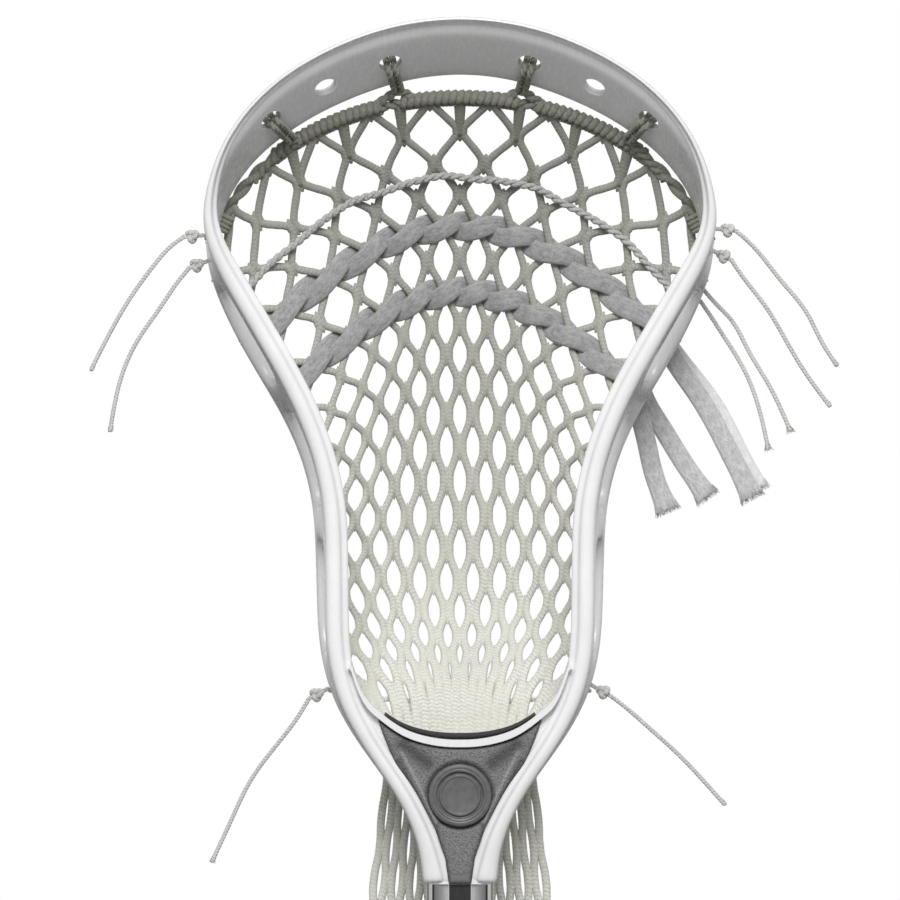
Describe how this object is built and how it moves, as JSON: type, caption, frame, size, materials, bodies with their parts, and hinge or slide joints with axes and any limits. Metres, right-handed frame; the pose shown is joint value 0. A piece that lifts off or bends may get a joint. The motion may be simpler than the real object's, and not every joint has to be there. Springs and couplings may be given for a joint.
{
  "type": "lacrosse stick",
  "caption": "Field lacrosse stick: strung plastic head with a knitted mesh pocket, shooting laces and loose string ends, on an octagonal aluminium shaft with a rubber butt cap.",
  "frame": {"origin": "centre of the butt cap's flat end face", "axes": "+Z along the shaft towards the head; the open face of the head looks along -Y and the pocket bellies out along +Y; +X is to the right as seen from the open face"},
  "size_m": [0.2655, 0.0795, 1.0259],
  "materials": {
    "head_plastic": "glossy white moulded nylon",
    "throat_grip": "dark grey, fine pebbled grain",
    "badge_plastic": "dark grey, satin, turned rings",
    "foam_pad": "black foam",
    "screw_steel": "plated",
    "shaft_alloy": "polished, black stripe on the front and back flats",
    "cap_rubber": "matte moulded rubber",
    "net_knit": "knitted nylon mesh, cream grey",
    "string_braid": "braided nylon string",
    "lace_cotton": "flat woven lace, fuzzy"
  },
  "bodies": {
    "stick": {"head_frame": "head_plastic", "throat_panel": "throat_grip", "throat_badge": "badge_plastic", "ball_stop_pad": "foam_pad", "head_screw": "screw_steel", "shaft": "shaft_alloy", "pocket_net": "net_knit", "net_tail": "net_knit", "top_string": "string_braid", "left_sidewall_string": "string_braid", "right_sidewall_string": "string_braid", "bottom_string": "string_braid", "shooting_cord": "string_braid", "left_outer_top_loop": "string_braid", "left_inner_top_loop": "string_braid", "right_inner_top_loop": "string_braid", "right_outer_top_loop": "string_braid", "left_upper_knot": "string_braid", "left_lower_knot": "string_braid", "right_upper_knot": "string_braid", "right_lower_knot": "string_braid", "bottom_left_knot": "string_braid", "bottom_right_knot": "string_braid", "left_upper_string_tail": "string_braid", "left_lower_string_tail": "string_braid", "right_upper_string_tail": "string_braid", "right_lower_string_tail": "string_braid", "right_upper_cord_tail": "string_braid", "right_lower_cord_tail": "string_braid", "bottom_left_string_tail": "string_braid", "bottom_right_string_tail": "string_braid", "upper_shooting_lace": "lace_cotton", "lower_shooting_lace": "lace_cotton", "upper_lace_front_tail": "lace_cotton", "upper_lace_back_tail": "lace_cotton", "lower_lace_front_tail": "lace_cotton", "lower_lace_back_tail": "lace_cotton"},
    "butt_cap": {"butt_cap": "cap_rubber"}
  },
  "joints": [
    {"name": "butt_cap_pull", "type": "slide", "parent": "stick", "child": "butt_cap", "axis": [0, 0, -1], "range_m": [0, 0.03]}
  ]
}
